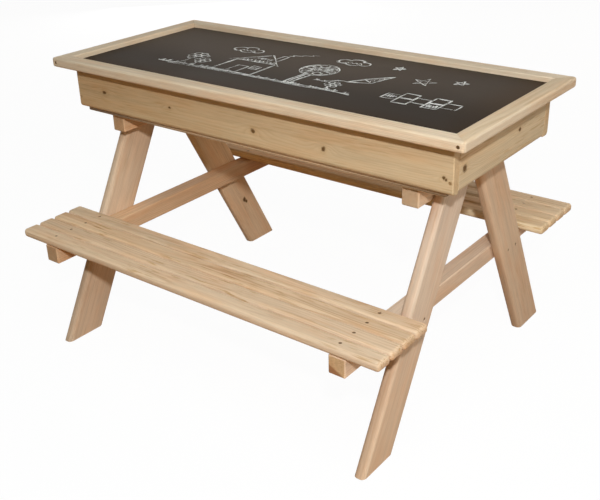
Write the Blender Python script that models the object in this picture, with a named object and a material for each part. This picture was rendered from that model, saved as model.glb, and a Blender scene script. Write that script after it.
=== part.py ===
"""Children's picnic table with a sandbox under a lift-off chalkboard lid.

Run it with: blender --background --python part.py
Lengths are metres. X runs along the table, Y across it and Z is up. The origin is on the floor, below the
middle of the table. The front is the -Y side.
"""
import math

import bmesh
import bpy
from mathutils import Matrix, Vector

# Overall sizes
TABLE_HEIGHT = 0.550
SEAT_HEIGHT = 0.251
LID_LENGTH = 0.900
LID_WIDTH = 0.402
FOOT_SPAN = 0.665

# Fits
TOUCH_GAP = 0.0003
CUT_OVERRUN = 0.004

# Lid: rails with a rebate, the chalkboard in it, and two battens below
RAIL_THICKNESS = 0.018
RAIL_FACE_WIDTH = 0.030
RAIL_LEDGE_WIDTH = 0.014
RAIL_OUTER_ROUND = 0.004
RAIL_INNER_ROUND = 0.002
LID_CORNER_ROUND = 0.006
BOARD_RECESS = 0.009
BOARD_THICKNESS = 0.004
BOARD_PLAY = 0.0006
BATTEN_WIDTH = 0.024
BATTEN_DEPTH = 0.026
BATTEN_SIDE_PLAY = 0.004
BATTEN_END_PLAY = 0.018
BATTEN_ROUND = 0.002

# Sandbox: four walls on a floor
LID_OVERHANG = 0.031
WALL_HEIGHT = 0.0825
WALL_THICKNESS = 0.018
WALL_LOWER_ROUND = 0.008
WALL_EDGE_ROUND = 0.0015
FLOOR_THICKNESS = 0.0065
FLOOR_SIDE_LAP = 0.0105
FLOOR_END_LAP = 0.0025
FLOOR_ROUND = 0.001

# Trestles: two leaning legs, a beam under the box and a beam under the seats
LEG_THICKNESS = 0.021
LEG_WIDTH = 0.078
LEG_ROUND = 0.008
LEG_INSET = 0.047
LEG_TOP_GAP = 0.008
BEAM_WIDTH = 0.032
TOP_BEAM_HEIGHT = 0.036
TOP_BEAM_SETBACK = 0.0195
SEAT_BEAM_HEIGHT = 0.0345
SEAT_BEAM_SETBACK = 0.0025
BEAM_ROUND = 0.002

# Seats: slats side by side
SLAT_COUNT = 4
SLAT_WIDTH = 0.0336
SLAT_THICKNESS = 0.017
SLAT_GAP = 0.0026
SLAT_ROUND = 0.0065
SLAT_END_OVERHANG = 0.040
SEAT_LEG_CLEARANCE = 0.0070

# Countersunk wood screws
SCREW_HEAD_RADIUS = 0.0030
SCREW_HEAD_DEPTH = 0.0022
SCREW_SHANK_RADIUS = 0.0015
SCREW_TIP_LENGTH = 0.004
SCREW_SINK = 0.0006
SLAT_SCREW_LENGTH = 0.036
LEG_SCREW_LENGTH = 0.045
RAIL_SCREW_LENGTH = 0.040
WALL_SCREW_LENGTH = 0.042
RAIL_SCREW_INSET = 0.011
WALL_SCREW_INSET = 0.0055
WALL_SCREW_RISE = 0.021
LEG_SCREW_SPACING = 0.031
SLAT_SCREW_BEAM_SHARE = 0.58

# Facets
ROUND_SEGMENTS = 3
SMALL_ROUND_SEGMENTS = 1
LARGE_ROUND_SEGMENTS = 5
CORNER_SEGMENTS = 6
SCREW_SIDES = 12
SMOOTH_ANGLE = math.radians(40)
MERGE_SHARE = 0.01

# Heights and lengths that follow from the sizes above
LID_UNDERSIDE = TABLE_HEIGHT - RAIL_THICKNESS
BOX_LENGTH = LID_LENGTH - 2 * LID_OVERHANG
BOX_WIDTH = LID_WIDTH - 2 * LID_OVERHANG
WALL_TOP = LID_UNDERSIDE - TOUCH_GAP
WALL_BOTTOM = WALL_TOP - WALL_HEIGHT
FLOOR_TOP = WALL_BOTTOM - TOUCH_GAP
FLOOR_BOTTOM = FLOOR_TOP - FLOOR_THICKNESS
LEG_TOP = FLOOR_BOTTOM - TOUCH_GAP
LEG_OUTER_X = BOX_LENGTH / 2 - LEG_INSET
BEAM_OUTER_X = LEG_OUTER_X - LEG_THICKNESS - TOUCH_GAP
SLAT_BOTTOM = SEAT_HEIGHT - SLAT_THICKNESS
SEAT_BEAM_TOP = SLAT_BOTTOM - TOUCH_GAP
SEAT_BEAM_MIDDLE = SEAT_BEAM_TOP - SEAT_BEAM_HEIGHT / 2
SLAT_LENGTH = 2 * (LEG_OUTER_X + SLAT_END_OVERHANG)
SLAT_PITCH = SLAT_WIDTH + SLAT_GAP


def leg_lean():
    """Angle from the vertical at which a foot and a leg's top both lie where the sizes say."""
    reach = (FOOT_SPAN - LEG_TOP_GAP) / 2
    return math.acos(LEG_WIDTH / math.hypot(reach, LEG_TOP)) - math.atan2(LEG_TOP, reach)


LEAN = leg_lean()


def leg_outer_y(height):
    """Distance from the middle of the table to a leg's outer edge, at a height."""
    return FOOT_SPAN / 2 - height * math.tan(LEAN)


def leg_middle_y(height):
    """Distance from the middle of the table to the middle of a leg, at a height."""
    return leg_outer_y(height) - LEG_WIDTH / math.cos(LEAN) / 2


SEAT_INNER_Y = leg_outer_y(SLAT_BOTTOM) + SEAT_LEG_CLEARANCE
SEAT_OUTER_Y = SEAT_INNER_Y + SLAT_COUNT * SLAT_PITCH - SLAT_GAP


def clear_scene():
    for thing in list(bpy.data.objects):
        bpy.data.objects.remove(thing, do_unlink=True)


def material(name, colour, roughness, metallic=0.0):
    """A Principled material with one colour, roughness and metallic value."""
    made = bpy.data.materials.new(name)
    made.use_nodes = True
    shader = made.node_tree.nodes["Principled BSDF"]
    shader.inputs["Base Color"].default_value = (*colour, 1.0)
    shader.inputs["Roughness"].default_value = roughness
    shader.inputs["Metallic"].default_value = metallic
    made.diffuse_color = (*colour, 1.0)
    return made


def group(name, location=(0, 0, 0), turn=0.0):
    """An empty that carries the pieces of one assembly."""
    empty = bpy.data.objects.new(name, None)
    empty.location = location
    empty.rotation_euler = (0, 0, turn)
    bpy.context.scene.collection.objects.link(empty)
    return empty


def mesh_from(bm, name):
    """Turns a bmesh into a mesh that is smooth except across real edges."""
    bmesh.ops.recalc_face_normals(bm, faces=bm.faces)
    mesh = bpy.data.meshes.new(name)
    bm.to_mesh(mesh)
    bm.free()
    mesh.shade_smooth()
    mesh.set_sharp_from_angle(angle=SMOOTH_ANGLE)
    return mesh


def piece(name, mesh, finish, parent, location=(0, 0, 0), rotation=(0, 0, 0)):
    made = bpy.data.objects.new(name, mesh)
    made.location = location
    made.rotation_euler = rotation
    made.parent = parent
    if not mesh.materials:
        mesh.materials.append(finish)
    bpy.context.scene.collection.objects.link(made)
    return made


def bevel(bm, edges, radius, segments):
    bmesh.ops.bevel(bm, geom=edges, offset=radius, offset_type="OFFSET", segments=segments,
                    profile=0.5, affect="EDGES")


def block(size):
    """A box centred on the origin."""
    bm = bmesh.new()
    bmesh.ops.create_cube(bm, size=1)
    bmesh.ops.scale(bm, vec=size, verts=bm.verts)
    return bm


def bar_mesh(name, size, radius, segments):
    """A bar with all of its edges rounded alike."""
    bm = block(size)
    bevel(bm, bm.edges[:], radius, segments)
    return mesh_from(bm, name)


def turned_mesh(name, profile, sides):
    """A closed turned shape. The profile runs from the top of the axis to its foot, as (radius, height)."""
    bm = bmesh.new()
    rings = []
    for radius, height in profile:
        if radius == 0:
            rings.append([bm.verts.new((0, 0, height))])
            continue
        ring = []
        for i in range(sides):
            angle = 2 * math.pi * i / sides
            ring.append(bm.verts.new((radius * math.cos(angle), radius * math.sin(angle), height)))
        rings.append(ring)
    for upper, lower in zip(rings, rings[1:]):
        for i in range(sides):
            k = (i + 1) % sides
            corners = [upper[i % len(upper)], lower[i % len(lower)],
                       lower[k % len(lower)], upper[k % len(upper)]]
            bm.faces.new(list(dict.fromkeys(corners)))
    return mesh_from(bm, name)


def screw_profile(length, grow):
    """Head, cone, shank and tip, with all walls moved outwards by grow."""
    head = SCREW_HEAD_RADIUS + grow
    shank = SCREW_SHANK_RADIUS + grow
    return [(0, 0), (head, 0), (shank, -SCREW_HEAD_DEPTH - grow),
            (shank, -length + SCREW_TIP_LENGTH), (0, -length - grow)]


def screw_mesh(name, length):
    return turned_mesh(name, screw_profile(length, 0), SCREW_SIDES)


def hole_mesh(name, length):
    """The hole that a screw leaves: its own shape with a gap, open above the head."""
    profile = screw_profile(length, TOUCH_GAP)
    mouth = SCREW_SINK + CUT_OVERRUN
    return turned_mesh(name, [(0, mouth), (profile[1][0], mouth)] + profile[1:], SCREW_SIDES)


def drive_screw(name, shapes, finish, parent, mouth, rotation, through):
    """Puts a screw at a mouth on a face, sunk a little, and cuts its hole in the pieces it joins."""
    shape, hole = shapes
    turn = Matrix.Rotation(rotation[2], 3, "Z") @ Matrix.Rotation(rotation[0], 3, "X")
    turn = turn @ Matrix.Rotation(rotation[1], 3, "Y")
    seat = Vector(mouth) - turn @ Vector((0, 0, SCREW_SINK))
    angles = turn.to_euler()
    piece(name, shape, finish, parent, seat, angles)
    cutter = piece(name + "_hole", hole, finish, parent, seat, angles)
    cutter.hide_render = True
    cutter.display_type = "WIRE"
    for part in through:
        cut = part.modifiers.new(name + "_hole", "BOOLEAN")
        cut.operation = "DIFFERENCE"
        cut.solver = "EXACT"
        cut.object = cutter


def screw_shapes(name, length):
    return screw_mesh(name, length), hole_mesh(name + "_hole", length)


def arc(centre, radius, start, end, steps):
    """Points of an arc, both ends included, as (across, height)."""
    points = []
    for i in range(steps + 1):
        angle = math.radians(start + (end - start) * i / steps)
        points.append((centre[0] + radius * math.cos(angle), centre[1] + radius * math.sin(angle)))
    return points


def rail_profile():
    """Section of a lid rail: distance inwards from its outer face, and depth below the lid's top."""
    outer = RAIL_OUTER_ROUND
    inner = RAIL_INNER_ROUND
    rebate = BOARD_RECESS + BOARD_THICKNESS + TOUCH_GAP
    ledge = RAIL_FACE_WIDTH + RAIL_LEDGE_WIDTH
    points = arc((outer, -RAIL_THICKNESS + outer), outer, 270, 180, ROUND_SEGMENTS)
    points += arc((outer, -outer), outer, 180, 90, ROUND_SEGMENTS)
    points += arc((RAIL_FACE_WIDTH - inner, -inner), inner, 90, 0, ROUND_SEGMENTS)
    points += [(RAIL_FACE_WIDTH, -rebate), (ledge, -rebate), (ledge, -RAIL_THICKNESS)]
    return points


def rounded_corner_point(inwards, corner, angle):
    """Where a line that runs inwards of the lid's outline passes, at an angle round one of its corners."""
    side_x, side_y = corner
    if inwards >= LID_CORNER_ROUND:
        return side_x * (LID_LENGTH / 2 - inwards), side_y * (LID_WIDTH / 2 - inwards)
    radius = LID_CORNER_ROUND - inwards
    return (side_x * (LID_LENGTH / 2 - LID_CORNER_ROUND) + radius * math.cos(angle),
            side_y * (LID_WIDTH / 2 - LID_CORNER_ROUND) + radius * math.sin(angle))


def lid_frame():
    """The four rails in one piece, swept round the lid, before the mitres are sawn."""
    bm = bmesh.new()
    profile = rail_profile()
    rings = []
    for quarter, corner in enumerate([(1, 1), (-1, 1), (-1, -1), (1, -1)]):
        for step in range(CORNER_SEGMENTS + 1):
            angle = math.pi / 2 * (quarter + step / CORNER_SEGMENTS)
            ring = []
            for inwards, height in profile:
                x, y = rounded_corner_point(inwards, corner, angle)
                ring.append(bm.verts.new((x, y, height)))
            rings.append(ring)
    for ring, following in zip(rings, rings[1:] + rings[:1]):
        for i in range(len(profile)):
            k = (i + 1) % len(profile)
            bm.faces.new([ring[i], ring[k], following[k], following[i]])
    bmesh.ops.remove_doubles(bm, verts=bm.verts, dist=TOUCH_GAP * MERGE_SHARE)
    bmesh.ops.dissolve_degenerate(bm, dist=TOUCH_GAP * MERGE_SHARE, edges=bm.edges)
    return bm


def saw(bm, point, normal):
    """Cuts away what lies on the normal's side of a plane, and closes the cut."""
    geometry = bm.verts[:] + bm.edges[:] + bm.faces[:]
    cut = bmesh.ops.bisect_plane(bm, geom=geometry, dist=TOUCH_GAP * MERGE_SHARE, plane_co=point,
                                 plane_no=normal, clear_outer=True)
    rim = [item for item in cut["geom_cut"] if isinstance(item, bmesh.types.BMEdge)]
    bmesh.ops.edgeloop_fill(bm, edges=rim)


def rail_mesh(name, direction):
    """The rail on one side of the lid, (0, -1) being the front: half the frame, sawn along two mitres."""
    bm = lid_frame()
    out_x, out_y = direction
    saw(bm, Vector((0, 0, 0)), Vector((-out_x, -out_y, 0)))
    for hand in (1, -1):
        along = (-hand * out_y, hand * out_x)
        corner = Vector((LID_LENGTH / 2 * (out_x + along[0]), LID_WIDTH / 2 * (out_y + along[1]), 0))
        normal = Vector((along[0] - out_x, along[1] - out_y, 0)).normalized()
        saw(bm, corner - normal * TOUCH_GAP / 2, normal)
    return mesh_from(bm, name)


def build_lid(pine, slate, steel):
    """Mitred frame, chalkboard and battens. They lift off together, straight up."""
    lid = group("lid", (0, 0, TABLE_HEIGHT))
    rails = {}
    for name, direction in (("front", (0, -1)), ("back", (0, 1)), ("left", (-1, 0)), ("right", (1, 0))):
        rails[name] = piece("lid_rail_" + name, rail_mesh("lid_rail_" + name, direction), pine, lid)

    margin = 2 * (RAIL_FACE_WIDTH + BOARD_PLAY)
    board_size = (LID_LENGTH - margin, LID_WIDTH - margin, BOARD_THICKNESS)
    board_middle = -BOARD_RECESS - BOARD_THICKNESS / 2
    piece("chalkboard", mesh_from(block(board_size), "chalkboard"), slate, lid, (0, 0, board_middle))

    room = BOX_WIDTH - 2 * WALL_THICKNESS
    batten_size = (BATTEN_WIDTH, room - 2 * BATTEN_END_PLAY, BATTEN_DEPTH)
    batten = bar_mesh("lid_batten", batten_size, BATTEN_ROUND, SMALL_ROUND_SEGMENTS)
    batten_x = BOX_LENGTH / 2 - WALL_THICKNESS - BATTEN_SIDE_PLAY - BATTEN_WIDTH / 2
    batten_z = -BOARD_RECESS - BOARD_THICKNESS - TOUCH_GAP - BATTEN_DEPTH / 2
    for name, side in (("left", -1), ("right", 1)):
        piece("lid_batten_" + name, batten, pine, lid, (side * batten_x, 0, batten_z))

    shapes = screw_shapes("rail_screw", RAIL_SCREW_LENGTH)
    screw_x = LID_LENGTH / 2 - RAIL_SCREW_INSET
    for depth, face, turn in (("front", -1, 0), ("back", 1, math.pi)):
        for side, sign in (("left", -1), ("right", 1)):
            drive_screw("rail_screw_" + depth + "_" + side, shapes, steel, lid,
                        (sign * screw_x, face * LID_WIDTH / 2, -RAIL_THICKNESS / 2),
                        (math.pi / 2, 0, turn), (rails[depth], rails[side]))
    return lid


def wall_mesh(name, length, eased_ends):
    """A wall board along X with its outer face towards -Y. Its outer lower edge is well rounded.

    The edges round its ends are eased too, or left square where the ends butt against other boards.
    """
    bm = block((length, WALL_THICKNESS, WALL_HEIGHT))
    lower = [edge for edge in bm.edges if all(v.co.y < 0 and v.co.z < 0 for v in edge.verts)]
    bevel(bm, lower, WALL_LOWER_ROUND, LARGE_ROUND_SEGMENTS)
    sharp = [edge for edge in bm.edges if edge.calc_face_angle() > SMOOTH_ANGLE]
    if not eased_ends:
        sharp = [edge for edge in sharp if abs(edge.verts[0].co.x - edge.verts[1].co.x) > WALL_THICKNESS]
    bevel(bm, sharp, WALL_EDGE_ROUND, SMALL_ROUND_SEGMENTS)
    return mesh_from(bm, name)


def build_box(pine, ply, steel):
    """Four walls, the long ones lapping the short ones, with a floor fixed below them that laps all four."""
    box = group("sandbox", (0, 0, WALL_BOTTOM))
    middle = WALL_HEIGHT / 2
    long_wall = wall_mesh("long_wall", BOX_LENGTH, True)
    short_wall = wall_mesh("short_wall", BOX_WIDTH - 2 * (WALL_THICKNESS + TOUCH_GAP), False)
    long_y = (BOX_WIDTH - WALL_THICKNESS) / 2
    short_x = (BOX_LENGTH - WALL_THICKNESS) / 2
    walls = {
        "front": piece("box_wall_front", long_wall, pine, box, (0, -long_y, middle)),
        "back": piece("box_wall_back", long_wall, pine, box, (0, long_y, middle), (0, 0, math.pi)),
        "left": piece("box_wall_left", short_wall, pine, box, (-short_x, 0, middle), (0, 0, -math.pi / 2)),
        "right": piece("box_wall_right", short_wall, pine, box, (short_x, 0, middle),
                       (0, 0, math.pi / 2)),
    }
    floor_size = (BOX_LENGTH - 2 * (WALL_THICKNESS - FLOOR_END_LAP),
                  BOX_WIDTH - 2 * (WALL_THICKNESS - FLOOR_SIDE_LAP), FLOOR_THICKNESS)
    floor = bar_mesh("box_floor", floor_size, FLOOR_ROUND, SMALL_ROUND_SEGMENTS)
    piece("box_floor", floor, ply, box, (0, 0, -TOUCH_GAP - FLOOR_THICKNESS / 2))

    shapes = screw_shapes("wall_screw", WALL_SCREW_LENGTH)
    screw_x = BOX_LENGTH / 2 - WALL_SCREW_INSET
    for depth, face, turn in (("front", -1, 0), ("back", 1, math.pi)):
        for side, sign in (("left", -1), ("right", 1)):
            drive_screw("wall_screw_" + depth + "_" + side, shapes, steel, box,
                        (sign * screw_x, face * BOX_WIDTH / 2, WALL_SCREW_RISE),
                        (math.pi / 2, 0, turn), (walls[depth], walls[side]))


def leg_mesh(name):
    """A plank with rounded edges that leans in from its foot at -Y. Foot and top are cut level.

    Its outer face is at x = 0 and its foot at z = 0.
    """
    half = LEG_WIDTH / 2
    section = []
    for x, y, start in ((-LEG_ROUND, half - LEG_ROUND, 0),
                        (LEG_ROUND - LEG_THICKNESS, half - LEG_ROUND, 90),
                        (LEG_ROUND - LEG_THICKNESS, LEG_ROUND - half, 180),
                        (-LEG_ROUND, LEG_ROUND - half, 270)):
        section += arc((x, y), LEG_ROUND, start, start + 90, LARGE_ROUND_SEGMENTS)
    bm = bmesh.new()
    rings = []
    for height in (0, LEG_TOP):
        ring = []
        for x, across in section:
            y = -leg_middle_y(height) + across / math.cos(LEAN)
            ring.append(bm.verts.new((x, y, height)))
        rings.append(ring)
    count = len(section)
    for i in range(count):
        k = (i + 1) % count
        bm.faces.new([rings[0][i], rings[0][k], rings[1][k], rings[1][i]])
    bm.faces.new(rings[0])
    bm.faces.new(rings[1])
    return mesh_from(bm, name)


def build_trestle(side, turn, pine, steel):
    """Two legs outside two beams. The empty stands at the legs' outer face, with +X outwards."""
    outward = math.cos(turn)
    trestle = group("trestle_" + side, (outward * LEG_OUTER_X, 0, 0), turn)
    beam_x = -LEG_THICKNESS - TOUCH_GAP - BEAM_WIDTH / 2
    top_size = (BEAM_WIDTH, BOX_WIDTH - 2 * TOP_BEAM_SETBACK, TOP_BEAM_HEIGHT)
    seat_size = (BEAM_WIDTH, 2 * (SEAT_OUTER_Y - SEAT_BEAM_SETBACK), SEAT_BEAM_HEIGHT)
    top_beam = bar_mesh("top_beam", top_size, BEAM_ROUND, SMALL_ROUND_SEGMENTS)
    piece("top_beam_" + side, top_beam, pine, trestle, (beam_x, 0, LEG_TOP - TOP_BEAM_HEIGHT / 2))
    seat_beam_mesh = bar_mesh("seat_beam", seat_size, BEAM_ROUND, SMALL_ROUND_SEGMENTS)
    seat_beam = piece("seat_beam_" + side, seat_beam_mesh, pine, trestle, (beam_x, 0, SEAT_BEAM_MIDDLE))

    shapes = screw_shapes("leg_screw", LEG_SCREW_LENGTH)
    for facing, leg_x, leg_turn in ((-1, 0, 0), (1, -LEG_THICKNESS, math.pi)):
        depth = "front" if facing * outward < 0 else "back"
        name = side + "_" + depth
        leg = piece("leg_" + name, leg_mesh("leg"), pine, trestle, (leg_x, 0, 0), (0, 0, leg_turn))
        middle = facing * leg_middle_y(SEAT_BEAM_MIDDLE)
        for place, shift in (("a", -LEG_SCREW_SPACING / 2), ("b", LEG_SCREW_SPACING / 2)):
            drive_screw("leg_screw_" + name + "_" + place, shapes, steel, trestle,
                        (0, middle + shift, SEAT_BEAM_MIDDLE), (0, math.pi / 2, 0), (leg, seat_beam))
    return seat_beam


def build_bench(depth, turn, seat_beams, pine, steel):
    """Four slats across both seat beams, with one screw where each slat crosses a beam."""
    bench = group("bench_" + depth, (0, 0, SEAT_HEIGHT), turn)
    shapes = screw_shapes("slat_screw", SLAT_SCREW_LENGTH)
    screw_x = BEAM_OUTER_X - BEAM_WIDTH * SLAT_SCREW_BEAM_SHARE
    outward = math.cos(turn)
    for i in range(SLAT_COUNT):
        y = -(SEAT_INNER_Y + SLAT_WIDTH / 2 + i * SLAT_PITCH)
        slat_mesh = bar_mesh("slat", (SLAT_LENGTH, SLAT_WIDTH, SLAT_THICKNESS), SLAT_ROUND,
                             LARGE_ROUND_SEGMENTS)
        name = depth + "_" + str(i + 1)
        slat = piece("slat_" + name, slat_mesh, pine, bench, (0, y, -SLAT_THICKNESS / 2))
        for side, sign in (("left", -1), ("right", 1)):
            drive_screw("slat_screw_" + name + "_" + side, shapes, steel, bench,
                        (outward * sign * screw_x, y, 0), (0, 0, 0), (slat, seat_beams[side]))


def main():
    clear_scene()
    rail_pine = material("rail_pine", (0.66, 0.49, 0.31), 0.62)
    wall_pine = material("wall_pine", (0.58, 0.42, 0.24), 0.65)
    leg_pine = material("leg_pine", (0.60, 0.43, 0.26), 0.65)
    slat_pine = material("slat_pine", (0.63, 0.45, 0.27), 0.62)
    ply = material("floor_ply", (0.52, 0.38, 0.22), 0.70)
    slate = material("chalkboard_black", (0.055, 0.048, 0.045), 0.75)
    steel = material("screw_steel", (0.20, 0.17, 0.13), 0.45, 0.9)
    build_lid(rail_pine, slate, steel)
    build_box(wall_pine, ply, steel)
    seat_beams = {
        "right": build_trestle("right", 0.0, leg_pine, steel),
        "left": build_trestle("left", math.pi, leg_pine, steel),
    }
    build_bench("front", 0.0, seat_beams, slat_pine, steel)
    build_bench("back", math.pi, seat_beams, slat_pine, steel)


main()
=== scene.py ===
"""Looks of the children's picnic table: pine, plywood, chalkboard, chalk lines, screws, light and camera."""
import math
import random

import bmesh
import bpy
from mathutils import Matrix, Vector


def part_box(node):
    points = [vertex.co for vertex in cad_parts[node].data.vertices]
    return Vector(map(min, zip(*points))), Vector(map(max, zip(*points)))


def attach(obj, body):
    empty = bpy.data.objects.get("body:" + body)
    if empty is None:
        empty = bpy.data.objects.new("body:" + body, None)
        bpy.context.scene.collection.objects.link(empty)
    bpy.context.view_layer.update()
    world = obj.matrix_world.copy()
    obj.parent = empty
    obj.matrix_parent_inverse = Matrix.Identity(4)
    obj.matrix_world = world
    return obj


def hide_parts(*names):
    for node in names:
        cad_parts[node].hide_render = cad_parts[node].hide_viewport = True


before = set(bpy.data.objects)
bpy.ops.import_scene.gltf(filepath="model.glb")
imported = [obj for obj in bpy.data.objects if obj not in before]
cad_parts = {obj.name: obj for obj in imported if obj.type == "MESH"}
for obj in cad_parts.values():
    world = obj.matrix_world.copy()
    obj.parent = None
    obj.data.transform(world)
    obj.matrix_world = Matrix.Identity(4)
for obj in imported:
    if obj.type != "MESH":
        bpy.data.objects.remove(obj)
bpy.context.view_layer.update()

# Lengths are in metres. X runs along the table, Y across it and Z is up, and the front is the -Y side.
X, Y, Z = Vector((1, 0, 0)), Vector((0, 1, 0)), Vector((0, 0, 1))

# Camera
VIEW_AZIMUTH, VIEW_ELEVATION, VIEW_ROLL = math.radians(38.17), math.radians(26.31), math.radians(-1.64)
VIEW_PLACE = Vector((0.9966, -1.2749, 0.9757))
# The first two are in pixels, and the sensor's width is in millimetres
FOCAL_PIXELS, IMAGE_WIDTH, SENSOR = 897.1, 600, 36


def direction(azimuth, elevation):
    """Unit vector from the table towards a place, azimuth 0 being the front and 90 degrees the right."""
    return Vector((math.sin(azimuth) * math.cos(elevation), -math.cos(azimuth) * math.cos(elevation),
                   math.sin(elevation)))


def add_camera():
    camera = bpy.data.objects.new("camera", bpy.data.cameras.new("camera"))
    bpy.context.scene.collection.objects.link(camera)
    back = direction(VIEW_AZIMUTH, VIEW_ELEVATION)
    level = Z.cross(back).normalized()
    rise = back.cross(level)
    right = level * math.cos(VIEW_ROLL) + rise * math.sin(VIEW_ROLL)
    up = rise * math.cos(VIEW_ROLL) - level * math.sin(VIEW_ROLL)
    place = Matrix((right, up, back)).transposed().to_4x4()
    place.translation = VIEW_PLACE
    camera.matrix_world = place
    camera.data.sensor_width = SENSOR
    camera.data.lens = FOCAL_PIXELS / IMAGE_WIDTH * SENSOR
    bpy.context.scene.camera = camera


# Node helper
WHITE = (1.0, 1.0, 1.0)
# Where a Mix node has its factor, its two colours and its resulting colour
MIX_SHARE, MIX_FIRST, MIX_SECOND, MIX_RESULT = 0, 6, 7, 2


class Graph:
    """Short calls for making nodes in one tree.

    A value may be a number, a tuple or another node's socket. A colour is three linear values.
    """

    def __init__(self, tree):
        self.tree = tree

    def put(self, socket, value):
        if isinstance(value, bpy.types.NodeSocket):
            self.tree.links.new(value, socket)
        elif socket.type == "RGBA":
            socket.default_value = (*value, 1.0)
        else:
            socket.default_value = value

    def node(self, kind, *values, **settings):
        made = self.tree.nodes.new("ShaderNode" + kind)
        for name, value in settings.items():
            setattr(made, name, value)
        for socket, value in zip(made.inputs, values):
            self.put(socket, value)
        return made

    def math(self, operation, *values):
        return self.node("Math", *values, operation=operation).outputs[0]

    def times(self, a, b):
        return self.math("MULTIPLY", a, b)

    def plus(self, a, b):
        return self.math("ADD", a, b)

    def minus(self, a, b):
        return self.math("SUBTRACT", a, b)

    def vector_math(self, operation, *values, out="Vector"):
        return self.node("VectorMath", *values, operation=operation).outputs[out]

    def dot(self, a, b):
        return self.vector_math("DOT_PRODUCT", a, b, out="Value")

    def length(self, vector):
        return self.vector_math("LENGTH", vector, out="Value")

    def scaled(self, vector, factors):
        return self.vector_math("MULTIPLY", vector, factors)

    def moved(self, vector, by):
        return self.vector_math("ADD", vector, by)

    def joined(self, x, y, z):
        return self.node("CombineXYZ", x, y, z).outputs[0]

    def parts(self, vector):
        return self.node("SeparateXYZ", vector).outputs

    def noise(self, place, scales, detail=2.0, rough=0.5, shift=None, out="Fac"):
        """Noise of place, with so many swings in a metre along each axis, or along all of them alike."""
        vector = self.scaled(place, scales if isinstance(scales, tuple) else (scales, scales, scales))
        if shift is not None:
            vector = self.moved(vector, shift)
        made = self.node("TexNoise")
        for name, value in (("Vector", vector), ("Scale", 1.0), ("Detail", detail), ("Roughness", rough)):
            self.put(made.inputs[name], value)
        return made.outputs[out]

    def step(self, value, low, high, start=0.0, end=1.0):
        """Smooth change from start to end while the value goes from low to high."""
        return self.node("MapRange", value, low, high, start, end, interpolation_type="SMOOTHSTEP").outputs[0]

    def span(self, value, low, high, start, end):
        """Even change from start to end while the value goes from low to high."""
        return self.node("MapRange", value, low, high, start, end).outputs[0]

    def mix(self, share, a, b, blend="MIX"):
        made = self.node("Mix", data_type="RGBA", blend_type=blend, clamp_factor=True)
        for i, value in ((MIX_SHARE, share), (MIX_FIRST, a), (MIX_SECOND, b)):
            self.put(made.inputs[i], value)
        return made.outputs[MIX_RESULT]

    def tint(self, share, colour, factors):
        """The colour times the factors where share is 1, and the colour as it was where share is 0."""
        return self.mix(share, colour, factors, "MULTIPLY")

    def grey(self, value):
        return self.node("CombineColor", value, value, value).outputs[0]

    def bump(self, shader, height, strength, distance):
        made = self.node("Bump")
        for name, value in (("Strength", strength), ("Distance", distance), ("Height", height)):
            self.put(made.inputs[name], value)
        self.put(shader.inputs["Normal"], made.outputs[0])


def rgb(red, green, blue):
    """A linear colour from screen values of 0 to 255."""
    channels = [c / 255 for c in (red, green, blue)]
    return tuple(c / 12.92 if c <= 0.04045 else ((c + 0.055) / 1.055) ** 2.4 for c in channels)


def tinted(colours, factors):
    return [tuple(c * f for c, f in zip(colour, factors)) for colour in colours]


def new_material(name):
    """An empty material: its graph, its Principled shader and its texture coordinates."""
    made = bpy.data.materials.new(name)
    made.use_nodes = True
    graph = Graph(made.node_tree)
    shader = made.node_tree.nodes["Principled BSDF"]
    return made, graph, shader, graph.node("TexCoord").outputs


def new_group(name, inputs, outputs):
    """An empty node group, from the name and the kind of each socket."""
    tree = bpy.data.node_groups.new(name, "ShaderNodeTree")
    for in_out, sockets in (("INPUT", inputs), ("OUTPUT", outputs)):
        for label, kind in sockets.items():
            tree.interface.new_socket(label, in_out=in_out, socket_type="NodeSocket" + kind)
    entry = tree.nodes.new("NodeGroupInput")
    leave = tree.nodes.new("NodeGroupOutput")
    return tree, Graph(tree), entry.outputs, leave.inputs


def use_group(graph, tree, **values):
    made = graph.node("Group")
    made.node_tree = tree
    for name, value in values.items():
        graph.put(made.inputs[name], value)
    return made.outputs


def facing(g, given, axis, low, high):
    """1 on the faces that look along the axis, either way, and 0 on the others."""
    return g.step(g.math("ABSOLUTE", g.dot(given["Normal"], axis)), low, high)


def dress(node, made):
    """Puts a material in every slot of a CAD node, on the object, so that nodes with one mesh may differ."""
    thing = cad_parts[node]
    for slot in thing.material_slots:
        slot.link = "OBJECT"
        slot.material = made


# Pine
# How many swings each figure of the wood has in a metre: along, across and into the board
WARP_SCALES = (1.7, 1.0, 1.0)
RIPPLE_SCALES = (6, 75, 75)
FIBRE_SCALES = (42, 900, 900)
STREAK_SCALES = (4, 260, 260)
TONE_SCALES = (3.5, 26, 26)
PATCH_SCALES = (8, 22, 22)
RESIN_SCALES, RESIN_PLACE_SCALES = (24, 320, 320), (6, 30, 30)
# How the rings' width swells: swings in a metre of radius, and how many rings that moves
SWELL_SCALES, SWELL_RINGS = (60, 1, 1), 2.2
RIPPLE_DEPTH, SWAY_REACH = 0.0016, 5.0
# The late wood of a ring, as shares of its width, and how much shows of the faintest ring and patch
LATE_RISE, LATE_FALL = (0.30, 0.86), (0.90, 1.0)
FAINTEST_RING, FAINTEST_PATCH, PATCH_RISE = 0.35, 0.35, (0.36, 0.62)
# Nearly all of a noise lies between these, and so far does each figure darken and lighten the wood
NOISE_SPAN = (0.25, 0.75)
FIBRE_CONTRAST, STREAK_CONTRAST, TONE_SPAN = 0.075, 0.08, (0.90, 1.10)
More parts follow.
